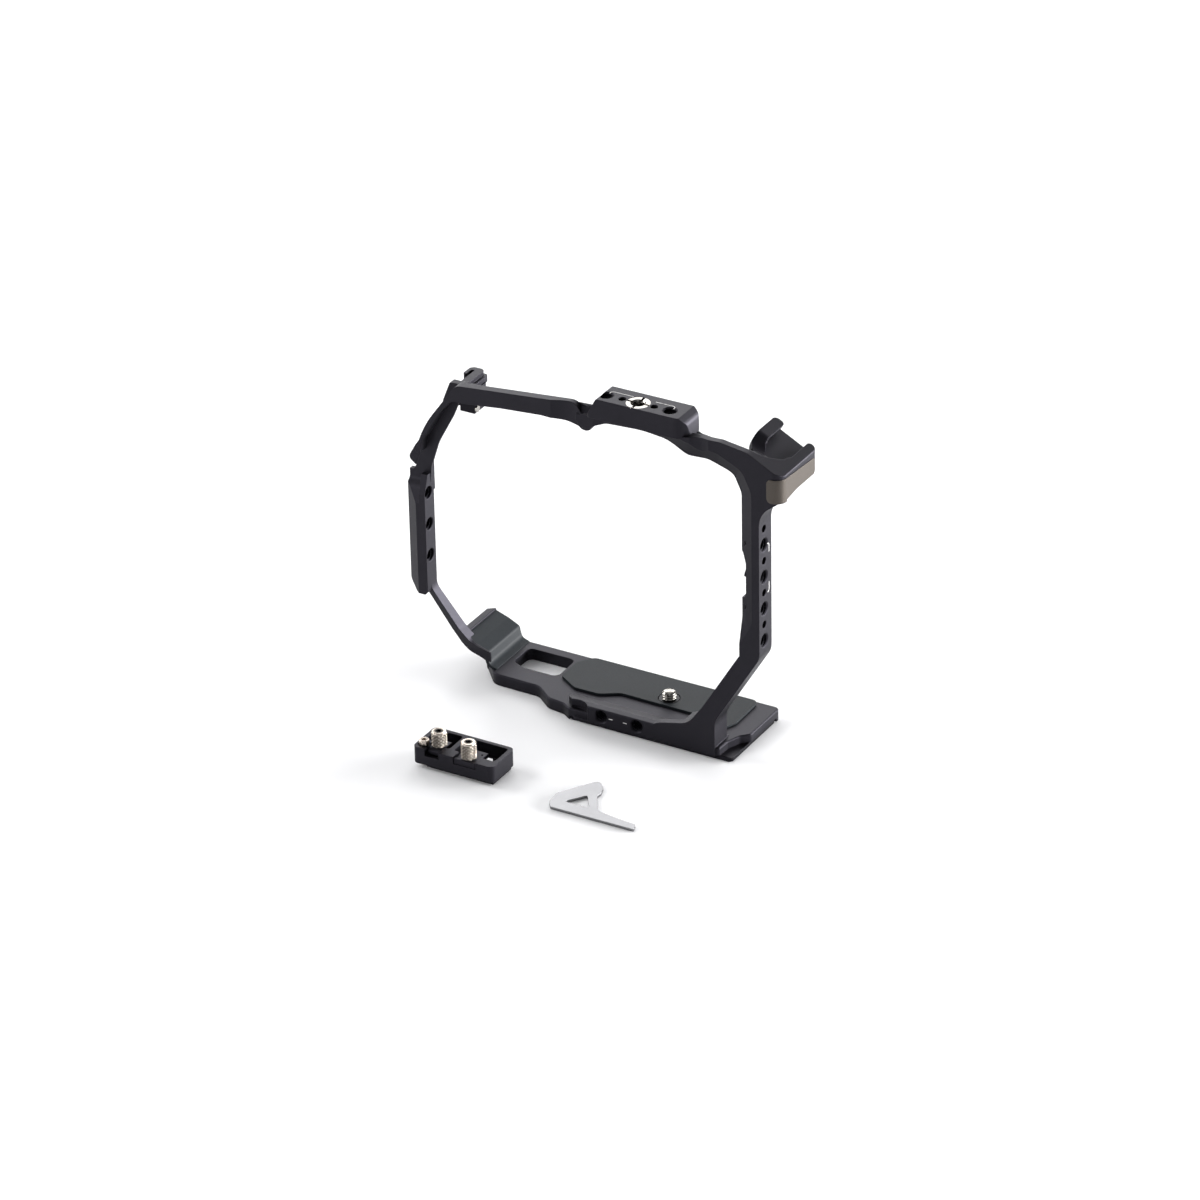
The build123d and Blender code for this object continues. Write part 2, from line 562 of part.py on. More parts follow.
bay_back = -75.4
bay_bottom = 3.2
land_back = -87.4
nut_z = (2.9, 4.4)
bridge_z = 4.7
channel_z = 6.2
usb_bay_x = (-72.2, -58.6)
hdmi_bay_x = (-56.6, -36.2)
boss_x = -68.2
boss_y = -84.6
usb_knob_y = -86.0
hdmi_knob_y = -88.6
usb_channel_x = (-67.9, -60.9)
hdmi_channel_x = (-53.7, -42.7)
knob_shank_r = 1.5
clamp_screw_xy = (-70.4, -88.6)
clamp_screw_r = 1.25


def clamp_body():
    """Machined body with two cable bays and a channel for each jaw in its front."""
    body = slab_z([(clamp_x[0], clamp_y[0], 2.5), (clamp_x[1], clamp_y[0], 2.5),
                   (clamp_x[1], clamp_y[1], 2.5), (clamp_x[0], clamp_y[1], 2.5)], *clamp_z)
    body = body - slab_z([(boss_x, land_back, 0.5), (usb_bay_x[1], land_back, 1.5),
                          (usb_bay_x[1], bay_back, 1.5), (usb_bay_x[0], bay_back, 1.5),
                          (usb_bay_x[0], boss_y, 1), (boss_x, boss_y, 0.5)], bay_bottom, 12)
    body = body - slab_z([(hdmi_bay_x[0], land_back, 1.5), (hdmi_bay_x[1], land_back, 1.5),
                          (hdmi_bay_x[1], bay_back, 1.5), (hdmi_bay_x[0], bay_back, 1.5)], bay_bottom, 12)
    for x, knob_y, channel_x, reach in ((usb_x, usb_knob_y, usb_channel_x, -83.2),
                                        (hdmi_x, hdmi_knob_y, hdmi_channel_x, -85.4)):
        bridge = block((x - 4.4, x + 4.4), (land_back - 0.1, reach), (bay_bottom - 0.1, channel_z))
        body = body + bridge
        body = body - block(channel_x, (clamp_y[0] - 1, land_back + 0.1), (channel_z, 12))
        body = body - block((x - 3.1, x + 3.1), (-91.2, reach + 4.5), (nut_z[0] - 0.3, bridge_z))
        body = body - block((x - 1.9, x + 1.9), (-91.0, reach + 1), (bridge_z - 0.1, channel_z + 1))
    body = body - block((-50.0, -42.2), (-80.5, -76.0), (0, bay_bottom + 1))
    body = body - block((-50.0, -44.0), (-77.0, clamp_y[1] + 1), (0, bay_bottom - 0.4))
    body = body - rod(clamp_screw_r + 0.35, (*clamp_screw_xy, 0), (0, 0, 1), 12)
    body = body - rod(2.6, (*clamp_screw_xy, 0), (0, 0, 1), 2.7)
    for x, y in clamp_foot_screw_xy:
        body = body - small_screw(x, y)
    return body - rod(2.7, (*clamp_screw_xy, clamp_z[1] - 0.5), (0, 0, 1), 2)


clamp_foot_screw_xy = [(-62.0, -78.0), (-39.5, -84.0)]


def clamp_foot():
    """Keyed foot that locates the clamp on the cage."""
    foot = slab_y([(-68.0, 0, 0), (clamp_x[1] - 1.0, 0, 0), (clamp_x[1] - 1.0, 0.6, 0),
                   (clamp_x[1] - 2.2, clamp_z[0], 0), (-66.8, clamp_z[0], 0), (-68.0, 0.6, 0)], -90.6, -75.6)
    foot = foot - block((-50.6, -41.6), (-81.2, -75.0), (-1, 3))
    foot = foot - rod(3.0, (*clamp_screw_xy, -1), (0, 0, 1), 5)
    for x, y in clamp_foot_screw_xy:
        foot = foot - small_screw(x, y)
    return foot


def small_screw(x, y):
    """One countersunk screw of the clamp's foot, head down."""
    head = loft([Plane((x, y, 0.1)) * Circle(1.7), Plane((x, y, 0.9)) * Circle(0.9)])
    return head + rod(0.9, (x, y, 0.8), (0, 0, 1), 2.1)


def clamp_foot_screws():
    """The two countersunk screws of the clamp's foot."""
    screws = []
    for x, y in clamp_foot_screw_xy:
        socket = extrude(Plane((x, y, 0)) * RegularPolygon(0.6, 6), amount=0.9)
        screws.append(small_screw(x, y) - socket)
    return Compound(children=screws)


def clamp_screw():
    """Captive screw that holds the clamp to the cage, with a socket in its head."""
    x, y = clamp_screw_xy
    head = rod(2.3, (x, y, 9.3), (0, 0, 1), 2.5)
    head = fillet(head.faces().sort_by(Axis.Z)[-1].edges(), 0.4)
    shank = rod(clamp_screw_r, (x, y, 0.2), (0, 0, 1), 9.2)
    socket = extrude(Plane((x, y, 10.3)) * RegularPolygon(1.15, 6), amount=3)
    return head + shank - socket


def clamp_screw_ring():
    """Ring that keeps the clamp's screw in place."""
    x, y = clamp_screw_xy
    return rod(2.2, (x, y, 1.9), (0, 0, 1), 0.5) - rod(clamp_screw_r, (x, y, 0), (0, 0, 1), 5)


def usb_jaw():
    """Narrow jaw with a sloped front edge."""
    jaw = slab_x([(-90.4, 6.4, 0), (-80.6, 6.4, 0), (-80.6, 8.7, 0.5), (-88.9, 9.0, 0), (-90.4, 8.2, 0.3)],
                 -67.6, -61.2)
    return jaw - rod(knob_shank_r + 0.3, (usb_x, usb_knob_y, 0), (0, 0, 1), 12)


def hdmi_jaw():
    """Wide jaw with a raised front lip."""
    jaw = slab_x([(-92.4, 6.4, 0), (-80.8, 6.4, 0), (-80.8, 8.4, 0.5), (-91.0, 8.4, 0), (-91.2, 8.9, 0),
                  (-92.4, 8.9, 0.3)], -53.4, -43.0)
    notch = block((-54.0, -51.4), (-83.4, -80.0), (6, 10))
    jaw = jaw - notch - rod(0.5, (-44.6, -83.6, 0), (0, 0, 1), 12)
    return jaw - rod(knob_shank_r + 0.3, (hdmi_x, hdmi_knob_y, 0), (0, 0, 1), 12)


def lock_knob(x, y, bottom, top):
    """Thumbscrew that locks a jaw: a drum with a hexagon socket over a plain shank."""
    drum = rod(3.4, (x, y, bottom), (0, 0, 1), top - bottom)
    drum = chamfer(drum.faces().sort_by(Axis.Z)[-1].edges(), 0.5)
    neck = rod(2.4, (x, y, bottom - 0.4), (0, 0, 1), 0.5)
    shank = rod(knob_shank_r, (x, y, 3.0), (0, 0, 1), bottom - 2.5)
    socket = extrude(Plane((x, y, top - 2.2)) * RegularPolygon(1.3, 6), amount=3)
    return drum + neck + shank - socket


def slide_nut(x, y):
    """Nut plate that a lock knob draws up under the bridge of its channel."""
    nut = block((x - 2.8, x + 2.8), (y - 2.3, y + 2.3), nut_z)
    return nut - rod(knob_shank_r + 0.25, (x, y, 0), (0, 0, 1), 12)


# Flat key

def key():
    """Flat tool with a straight blade and a triangular opening."""
    blank = slab_z([(-3.8, -96.4, 1), (36.6, -96.2, 0.5), (35.3, -92.4, 0.5), (26.7, -91.6, 8),
                    (16.0, -90.0, 3), (9.4, -79.4, 2), (9.6, -76.4, 1), (8.4, -72.4, 2),
                    (4.8, -68.6, 2), (2.8, -69.6, 2), (-6.9, -85.2, 2), (-6.5, -92.8, 3)],
                   0, key_thickness)
    opening = slab_z([(-0.8, -89.9, 0.8), (11.2, -89.6, 0.8), (5.5, -81.0, 0.8)], -1, key_thickness + 1)
    return blank - opening


def main():
    os.makedirs("parts", exist_ok=True)
    made = {
        "cage_frame": frame(),
        "corner_plate": corner_plate(),
        "top_insert": top_insert(),
        "base_pad": base_pad(),
        "corner_pad": corner_pad(),
        "camera_screw": camera_screw(),
        "screw_clip": screw_clip(),
        "foot_plate": foot_plate(),
        "foot_screws": foot_screws(),
        "key_magnets": key_magnets(),
        "strap_hook": strap_hook(),
        "hook_clamp": hook_clamp(),
        "hook_screw": hook_screw(),
        "clamp_body": clamp_body(),
        "clamp_foot": clamp_foot(),
        "clamp_foot_screws": clamp_foot_screws(),
        "clamp_screw": clamp_screw(),
        "clamp_screw_ring": clamp_screw_ring(),
        "usb_jaw": usb_jaw(),
        "usb_knob": lock_knob(usb_x, usb_knob_y, 9.5, 16.3),
        "usb_nut": slide_nut(usb_x, usb_knob_y),
        "hdmi_jaw": hdmi_jaw(),
        "hdmi_knob": lock_knob(hdmi_x, hdmi_knob_y, 9.1, 16.7),
        "hdmi_nut": slide_nut(hdmi_x, hdmi_knob_y),
        "key": key(),
    }
    for name, solid in made.items():
        export_step(solid, f"parts/{name}.step")
        print(name, [round(s.volume, 1) for s in solid.solids()])


main()
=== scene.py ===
import json
import math

import bmesh
import bpy
from mathutils import Matrix, Vector


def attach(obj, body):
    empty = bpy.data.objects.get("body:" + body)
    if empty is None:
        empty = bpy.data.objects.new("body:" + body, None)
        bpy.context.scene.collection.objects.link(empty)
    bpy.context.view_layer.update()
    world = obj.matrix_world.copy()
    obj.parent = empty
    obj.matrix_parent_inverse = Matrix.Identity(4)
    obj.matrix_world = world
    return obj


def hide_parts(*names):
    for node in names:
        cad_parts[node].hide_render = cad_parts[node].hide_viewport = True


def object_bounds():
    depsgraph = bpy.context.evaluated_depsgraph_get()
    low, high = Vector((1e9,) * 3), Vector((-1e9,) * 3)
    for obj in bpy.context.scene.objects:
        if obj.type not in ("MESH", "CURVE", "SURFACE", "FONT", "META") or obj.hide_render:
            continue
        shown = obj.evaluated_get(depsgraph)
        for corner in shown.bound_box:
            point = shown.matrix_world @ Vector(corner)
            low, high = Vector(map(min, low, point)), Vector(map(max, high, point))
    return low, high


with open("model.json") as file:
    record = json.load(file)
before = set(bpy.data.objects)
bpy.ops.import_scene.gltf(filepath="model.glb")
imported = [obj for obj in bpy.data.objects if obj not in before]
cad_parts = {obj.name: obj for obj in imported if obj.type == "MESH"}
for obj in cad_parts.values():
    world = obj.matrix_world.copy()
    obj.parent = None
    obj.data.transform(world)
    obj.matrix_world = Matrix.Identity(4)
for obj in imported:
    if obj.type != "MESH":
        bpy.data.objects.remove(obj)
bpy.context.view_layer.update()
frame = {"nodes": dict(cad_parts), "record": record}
nodes = frame["nodes"]
print("cage model loaded:", len(nodes), "nodes")

mm = 0.001
inch = 25.4 * mm

# Hole rows and planes that the dressed pieces sit on, in metres
cage = dict(
    topFace=160 * mm, topRowY=-23.0 * mm, pitch=0.6 * inch,
    columnFace=59.5 * mm, columnRowY=-22.9 * mm, columnFirstZ=61.8 * mm,
    barFace=-104.3 * mm, barRowY=-24.1 * mm, barFirstZ=62.0 * mm,
    railFace=-27.5 * mm, railZ=5.8 * mm, railX=(-18.5 * mm, -0.9 * mm),
)


# Materials

def linear(hexColour):
    # sRGB hex to the linear values that Blender's sockets take
    parts = [int(hexColour[i:i + 2], 16) / 255 for i in (1, 3, 5)]
    channels = [c / 12.92 if c <= 0.04045 else ((c + 0.055) / 1.055) ** 2.4 for c in parts]
    return channels + [1.0]


def addNode(mat, kind, settings=None, links=None):
    node = mat.node_tree.nodes.new(kind)
    for name, value in (settings or {}).items():
        if name in node.inputs:
            node.inputs[name].default_value = value
        else:
            setattr(node, name, value)
    for name, source in (links or {}).items():
        mat.node_tree.links.new(source, node.inputs[name])
    return node


def newMaterial(name, shader):
    # an empty material with its Principled shader wired to the output
    mat = bpy.data.materials.new(name)
    mat.use_nodes = True
    mat.node_tree.nodes.clear()
    principled = addNode(mat, "ShaderNodeBsdfPrincipled", shader)
    addNode(mat, "ShaderNodeOutputMaterial", None, {"Surface": principled.outputs["BSDF"]})
    return mat, principled


def grainScale(sizeMm):
    # noise scale whose blobs are this many millimetres across, in object metres
    return 1 / (sizeMm * mm)


def wire(mat, source, target):
    mat.node_tree.links.new(source, target)


def blendedColour(mat, factor, dark, light):
    # a Mix node between two sRGB hex colours; sockets 6 and 7 are its colour inputs
    tone = addNode(mat, "ShaderNodeMix", {"data_type": "RGBA"}, {"Factor": factor})
    tone.inputs[6].default_value = linear(dark)
    tone.inputs[7].default_value = linear(light)
    return tone.outputs[2]


# What all finishes share: cloud size in mm, how far the painted hollow shade reaches, and the
# noise, openness and groove depths between which each effect runs
finish = dict(
    cloudSize=14, roughBetween=(0.3, 0.7), edgeSamples=6,
    hollowReach=1.2 * mm, hollowSamples=8, hollowBetween=(0.25, 0.85), grooveBetween=(0.7, 0.15),
)


def paintHollowShade(mat, colour, hollowShade, grooves):
    # painted shade: darkens the colour in threads, slots and other hollows that ambient occlusion
    # finds, or by a mesh's own groove depths
    if grooves:
        depth = addNode(mat, "ShaderNodeAttribute", {"attribute_name": grooves})
        source, (low, high) = depth.outputs["Fac"], finish["grooveBetween"]
    else:
        openness = addNode(mat, "ShaderNodeAmbientOcclusion",
                           {"Distance": finish["hollowReach"], "samples": finish["hollowSamples"]})
        source, (low, high) = openness.outputs["AO"], finish["hollowBetween"]
    recess = addNode(mat, "ShaderNodeMapRange",
                     {"From Min": low, "From Max": high, "To Min": 1 - hollowShade}, {"Value": source})
    shaded = addNode(mat, "ShaderNodeMix",
                     {"data_type": "RGBA", "blend_type": "MULTIPLY", "Factor": 1.0})
    wire(mat, colour, shaded.inputs[6])
    wire(mat, recess.outputs["Result"], shaded.inputs[7])
    return shaded.outputs[2]


def grainedSurface(name, dark, light, shader, grain, relief, edge, rough, hollowShade=0.0, grooves=""):
    # one skin: blotchy tone, fine grain in the relief, rounded edges and painted shade in the
    # hollows; grain, relief and edge are millimetres
    mat, principled = newMaterial(name, shader)
    coords = addNode(mat, "ShaderNodeTexCoord")
    grit = addNode(mat, "ShaderNodeTexNoise",
                   {"Scale": grainScale(grain), "Detail": 3.0, "Roughness": 0.6},
                   {"Vector": coords.outputs["Object"]})
    cloud = addNode(mat, "ShaderNodeTexNoise",
                    {"Scale": grainScale(finish["cloudSize"]), "Detail": 2.0},
                    {"Vector": coords.outputs["Object"]})
    colour = blendedColour(mat, cloud.outputs["Fac"], dark, light)
    # painted shade: the base colour is darkened in the hollows
    if hollowShade:
        colour = paintHollowShade(mat, colour, hollowShade, grooves)
    wire(mat, colour, principled.inputs["Base Color"])
    noiseLow, noiseHigh = finish["roughBetween"]
    spread = addNode(mat, "ShaderNodeMapRange",
                     {"From Min": noiseLow, "From Max": noiseHigh,
                      "To Min": rough[0], "To Max": rough[1]}, {"Value": grit.outputs["Fac"]})
    wire(mat, spread.outputs["Result"], principled.inputs["Roughness"])
    rounded = addNode(mat, "ShaderNodeBevel",
                      {"Radius": edge * mm, "samples": finish["edgeSamples"]})
    bump = addNode(mat, "ShaderNodeBump", {"Strength": 1.0, "Distance": relief * mm},
                   {"Height": grit.outputs["Fac"], "Normal": rounded.outputs["Normal"]})
    wire(mat, bump.outputs["Normal"], principled.inputs["Normal"])
    return mat


metal = {"Metallic": 1.0}

# Black anodised aluminium, bead-blasted before dyeing: a dyed oxide film over metal swallows
# what it faces squarely and flares at a slant. Real grit is 0.1 mm; 0.45 mm shows.
blastedAnodised = grainedSurface(
    "blasted_black_anodised_aluminium", "#28272c", "#2e2d32", metal,
    grain=0.45, relief=0.003, edge=0.45, rough=(0.46, 0.54))

# Black anodised aluminium left as milled: the same dye, a little darker and sharper. Real
# cutter marks are 0.2 mm apart; 0.8 mm shows.
milledAnodised = grainedSurface(
    "milled_black_anodised_aluminium", "#1d1c20", "#212024", metal,
    grain=0.8, relief=0.002, edge=0.25, rough=(0.38, 0.46))

# Stainless steel, turned: bright, with a slight warm grey, and painted shade darkening its threads
# and slots.
turnedStainless = grainedSurface(
    "turned_stainless_steel", "#95928d", "#a6a39e", metal,
    grain=0.5, relief=0.0015, edge=0.15, rough=(0.18, 0.28), hollowShade=0.95)

# Brass, nickel plated: warm silver, with painted shade where it is hollow.
platedNickel = grainedSurface(
    "nickel_plated_brass", "#a59b91", "#b5aca2", metal,
    grain=0.4, relief=0.001, edge=0.1, rough=(0.20, 0.30), hollowShade=0.8)

# The same plating over a knurl: glossy on the crests, with painted shade down the V grooves and in
# the hex socket.
knurledNickel = grainedSurface(
    "knurled_nickel_plated_brass", "#b3a99f", "#c1b8ae", metal,
    grain=0.4, relief=0.001, edge=0.03, rough=(0.22, 0.30), hollowShade=0.93, grooves="grooveDepth")

# Spring steel, tumbled: satin and slightly mottled.
tumbledSteel = grainedSurface(
    "tumbled_spring_steel", "#737375", "#838385", metal,
    grain=0.7, relief=0.003, edge=0.3, rough=(0.28, 0.38))

# Spring steel, blackened: the snap ring that keeps the camera screw in the base.
blackenedSteel = grainedSurface(
    "black_oxide_spring_steel", "#1b1b1d", "#222224", metal,
    grain=0.5, relief=0.001, edge=0.1, rough=(0.35, 0.45))

# Aluminium plate, blasted and anodised a dark taupe: dim square on, pale at a slant.
taupeAnodised = grainedSurface(
    "taupe_anodised_aluminium", "#4d4844", "#57524d", metal,
    grain=0.5, relief=0.002, edge=0.12, rough=(0.43, 0.51))

# Nitrile rubber sheet, die-cut: blue-black and matte with a dusty sheen.
nitrileRubber = grainedSurface(
    "die_cut_nitrile_rubber", "#13181c", "#181d22", {"Metallic": 0.0, "Specular IOR Level": 0.22},
    grain=0.35, relief=0.006, edge=0.2, rough=(0.55, 0.65))

# Laser marking burns the dye out of the anodising and leaves a flat off-white.
laserMarked = grainedSurface(
    "laser_marked_anodising", "#d4d3d2", "#e2e1df", {"Metallic": 0.0},
    grain=0.3, relief=0.0005, edge=0.02, rough=(0.7, 0.8))

slotMaterials = dict(
    anodised_black=blastedAnodised, anodised_dark=milledAnodised, bare_plate=taupeAnodised,
    rubber_grey=nitrileRubber, stainless=turnedStainless, nickel_knurl=knurledNickel,
    magnet_nickel=platedNickel, steel_key=tumbledSteel, steel_black=blackenedSteel,
)
for sub in frame["record"]["subparts"]:
    mesh = nodes[sub["node"]].data
    mesh.materials.clear()
    mesh.materials.append(slotMaterials[sub["material_slot"]])
print("finishes laid on the cage parts")


# Mesh helpers

def meshPiece(name, verts, faces, mat, body, smooth=True):
    mesh = bpy.data.meshes.new(name)
    mesh.from_pydata([tuple(v) for v in verts], [], faces)
    mesh.validate()
    work = bmesh.new()
    work.from_mesh(mesh)
    bmesh.ops.recalc_face_normals(work, faces=work.faces)
    work.to_mesh(mesh)
    work.free()
    mesh.materials.append(mat)
    for face in mesh.polygons:
        face.use_smooth = smooth
    piece = bpy.data.objects.new(name, mesh)
    bpy.context.scene.collection.objects.link(piece)
    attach(piece, body)
    return piece


def placed(origin, axis):
    # matrix that puts local +Z on an axis, with its origin at a point
    turn = Vector(axis).to_track_quat("Z", "Y").to_matrix().to_4x4()
    return Matrix.Translation(Vector(origin)) @ turn


def turnedRow(radius, z, steps, centre=(0, 0)):
    angles = [2 * math.pi * k / steps for k in range(steps)]
    return [(centre[0] + radius * math.cos(a), centre[1] + radius * math.sin(a), z) for a in angles]


def ringRows(rows, steps):
    # closed skin over rows of points, each row one turn round the axis, capped at both ends
    verts, faces = [], []
    for row in rows:
        verts += row
    for r in range(len(rows) - 1):
        for k in range(steps):
            a, b = r * steps + k, r * steps + (k + 1) % steps
            faces.append((a, b, b + steps, a + steps))
    faces.append(tuple(range(steps))[::-1])
    last = (len(rows) - 1) * steps
    faces.append(tuple(last + k for k in range(steps)))
    return verts, faces


# Quarter-inch threads in the tapped holes: flank and crestFlat are shares of the pitch

thread = dict(pitch=inch / 20, rootR=2.80 * mm, crestR=2.47 * mm, flank=0.40, crestFlat=0.06,
              steps=40, fadeSteps=12, endHeight=0.05)

# how far below its mouth each hole's thread starts and ends
tapped = dict(
    top=(1.2 * mm, 7.6 * mm), insert=(2.2 * mm, 6.4 * mm), column=(1.2 * mm, 7.6 * mm),
    rail=(1.2 * mm, 4.4 * mm), barStart=1.1 * mm, barEnds=(5.2 * mm, 5.2 * mm, 2.7 * mm),
    columnCount=4,
)


def holeThread(name, mouth, axisIn, start, depth, mat=blastedAnodised):
    # helical ridge on the wall of one tapped hole, its foot set into the wall
    turns = (depth - start) / thread["pitch"]
    count = int(turns * thread["steps"])
    foot = thread["pitch"] * thread["flank"]
    flat = thread["crestFlat"] * foot
    root = thread["rootR"]
    matrix = placed(mouth, axisIn)
    verts, faces = [], []
    for i in range(count + 1):
        angle = -2 * math.pi * i / thread["steps"]
        z = start + thread["pitch"] * i / thread["steps"]
        fade = min(1.0, i / thread["fadeSteps"], (count - i) / thread["fadeSteps"])
        crest = root + (thread["crestR"] - root) * max(fade, thread["endHeight"])
        for radius, dz in ((root, -foot), (crest, -flat), (crest, flat), (root, foot)):
            point = Vector((radius * math.cos(angle), radius * math.sin(angle), z + dz))
            verts.append(matrix @ point)
    for i in range(count):
        a, b = 4 * i, 4 * (i + 1)
        for k in range(4):
            faces.append((a + k, a + (k + 1) % 4, b + (k + 1) % 4, b + k))
    faces += [(3, 2, 1, 0), tuple(4 * count + k for k in range(4))]
    return meshPiece(name, verts, faces, mat, "cage")


def cutThreads():
    # every tapped hole of the cage gets its own ridge
    for i, side in enumerate((-1, 1)):
        mouth = (side * cage["pitch"], cage["topRowY"], cage["topFace"])
        holeThread(f"top_hole_thread_{i + 1}", mouth, (0, 0, -1), *tapped["top"])
    mouth = (0, cage["topRowY"], cage["topFace"])
    holeThread("insert_thread", mouth, (0, 0, -1), *tapped["insert"], turnedStainless)
    for i in range(tapped["columnCount"]):
        mouth = (cage["columnFace"], cage["columnRowY"], cage["columnFirstZ"] + i * cage["pitch"])
        holeThread(f"column_hole_thread_{i + 1}", mouth, (-1, 0, 0), *tapped["column"])
    for i, end in enumerate(tapped["barEnds"]):
        mouth = (cage["barFace"], cage["barRowY"], cage["barFirstZ"] + i * cage["pitch"])
        holeThread(f"bar_hole_thread_{i + 1}", mouth, (-1, 0, 0), tapped["barStart"], end)
    for i, x in enumerate(cage["railX"]):
        mouth = (x, cage["railFace"], cage["railZ"])
        holeThread(f"rail_hole_thread_{i + 1}", mouth, (0, 1, 0), *tapped["rail"])


cutThreads()
print("threads cut in the tapped holes")


# Camera screw

cameraScrew = dict(
    headR=6.8 * mm, headZ=(0.3 * mm, 3.2 * mm), chamfer=0.3 * mm, neckR=2.9 * mm, runOut=0.25 * mm,
    threadZ=(6.35 * mm, 9.9 * mm), majorR=3.175 * mm, minorR=2.62 * mm, tip=0.8 * mm, tipSlope=1.1,
    ridgeTop=1.35, ridgeSlope=3.4, steps=64, layers=34,
    slotWide=2.4 * mm, slotDeep=1.3 * mm, cutterTall=4 * mm,
)


def threadRadius(angle, z):
    # 60 degree thread with flat crests and roots
    dims = cameraScrew
    phase = (z / thread["pitch"] - angle / (2 * math.pi)) % 1.0
    height = min(1.0, max(0.0, dims["ridgeTop"] - dims["ridgeSlope"] * abs(phase - 0.5)))
    return dims["minorR"] + (dims["majorR"] - dims["minorR"]) * height


def cutCoinSlot(screw):
    # a block sunk into the head's underside, taken away from the screw
    dims = cameraScrew
    middle = dims["headZ"][0] + dims["slotDeep"] - dims["cutterTall"] / 2
    size = Matrix.Diagonal((3 * dims["headR"], dims["slotWide"], dims["cutterTall"], 1))
    cutter = bpy.data.meshes.new("coin_slot")
    work = bmesh.new()
    bmesh.ops.create_cube(work, size=1.0, matrix=Matrix.Translation((0, 0, middle)) @ size)
    work.to_mesh(cutter)
    work.free()
    slotTool = bpy.data.objects.new("coin_slot", cutter)
    bpy.context.scene.collection.objects.link(slotTool)
    cut = screw.modifiers.new("coin_slot", "BOOLEAN")
    cut.object = slotTool
    cut.operation = "DIFFERENCE"
    cut.solver = "EXACT"
    bpy.context.view_layer.update()
    evaluated = screw.evaluated_get(bpy.context.evaluated_depsgraph_get())
    finished = bpy.data.meshes.new_from_object(evaluated)
    screw.modifiers.clear()
    screw.data = finished
    bpy.data.objects.remove(slotTool)


def makeCameraScrew():
    dims, steps = cameraScrew, cameraScrew["steps"]
    headR, chamfer = dims["headR"], dims["chamfer"]
    headLow, headHigh = dims["headZ"]
    low, high = dims["threadZ"]
    profile = ((headR - chamfer, headLow), (headR, headLow + chamfer),
               (headR, headHigh - chamfer), (headR - chamfer, headHigh),
               (dims["neckR"], headHigh), (dims["neckR"], low - dims["runOut"]))
    rows = [turnedRow(radius, z, steps) for radius, z in profile]
    for i in range(dims["layers"] + 1):
        z = low + (high - low) * i / dims["layers"]
        limit = dims["majorR"] - max(0.0, z - (high - dims["tip"])) * dims["tipSlope"]
        row = []
        for k in range(steps):
            angle = 2 * math.pi * k / steps
            radius = min(limit, threadRadius(angle, z))
            row.append((radius * math.cos(angle), radius * math.sin(angle), z))
        rows.append(row)
    verts, faces = ringRows(rows, steps)
    screw = meshPiece("camera_screw_turned", verts, faces, turnedStainless, "camera_screw_set")
    cutCoinSlot(screw)
    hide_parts("camera_screw")
    return screw


makeCameraScrew()
print("camera screw turned and threaded")


# Knurled lock knobs: crown rows are (inset, drop) from the rim and the top

lockKnob = dict(
    radius=3.4 * mm, neckR=2.4 * mm, neckTall=0.4 * mm, shankR=1.5 * mm, shankBottom=3.0 * mm,
    footInset=0.35 * mm, knurlLift=0.3 * mm, band=0.55 * mm, bandGap=0.25 * mm,
    diamonds=12, diamondTall=1.5 * mm, cut=0.4 * mm, crest=1.5, fineness=12,
    crownInset=0.16 * mm, socketAcross=2.25 * mm, socketDepth=2.2 * mm,
    crown=((0.0, 0.42 * mm), (0.12 * mm, 0.18 * mm), (0.4 * mm, 0.03 * mm), (0.7 * mm, 0.0)),
)


def knurlRadius(angle, z):
    # two crossed sets of V grooves leave pointed diamonds; the real ones are about 0.8 mm wide,
    # too fine to show, so they are drawn at 1.8 mm
    dims = lockKnob
    around = dims["diamonds"] * angle / (2 * math.pi)
    along = z / dims["diamondTall"]
    first = abs((around + along) % 1.0 - 0.5) * 2
    second = abs((around - along) % 1.0 - 0.5) * 2
    proud = 1 - max(first, second)
    return dims["radius"] - dims["cut"] * (1 - min(1.0, proud * dims["crest"]))


def markGrooves(mesh, centre, knurled, top):
    # how deep each point lies under the knurl's crests, 0 to 1, and 1 down in the hex socket; the
    # knob's material paints shade by these depths
    dims = lockKnob
    hexCorner = 0.6 * dims["socketAcross"]
    socketFloor = top - dims["socketDepth"] - 0.1 * mm
    depths = mesh.attributes.new("grooveDepth", "FLOAT", "POINT")
    for vertex, depth in zip(mesh.vertices, depths.data):
        reach = math.hypot(vertex.co.x - centre[0], vertex.co.y - centre[1])
        if knurled[0] <= vertex.co.z <= knurled[1]:
            depth.value = (dims["radius"] - reach) / dims["cut"]
        if reach < hexCorner and vertex.co.z > socketFloor:
            depth.value = 1.0


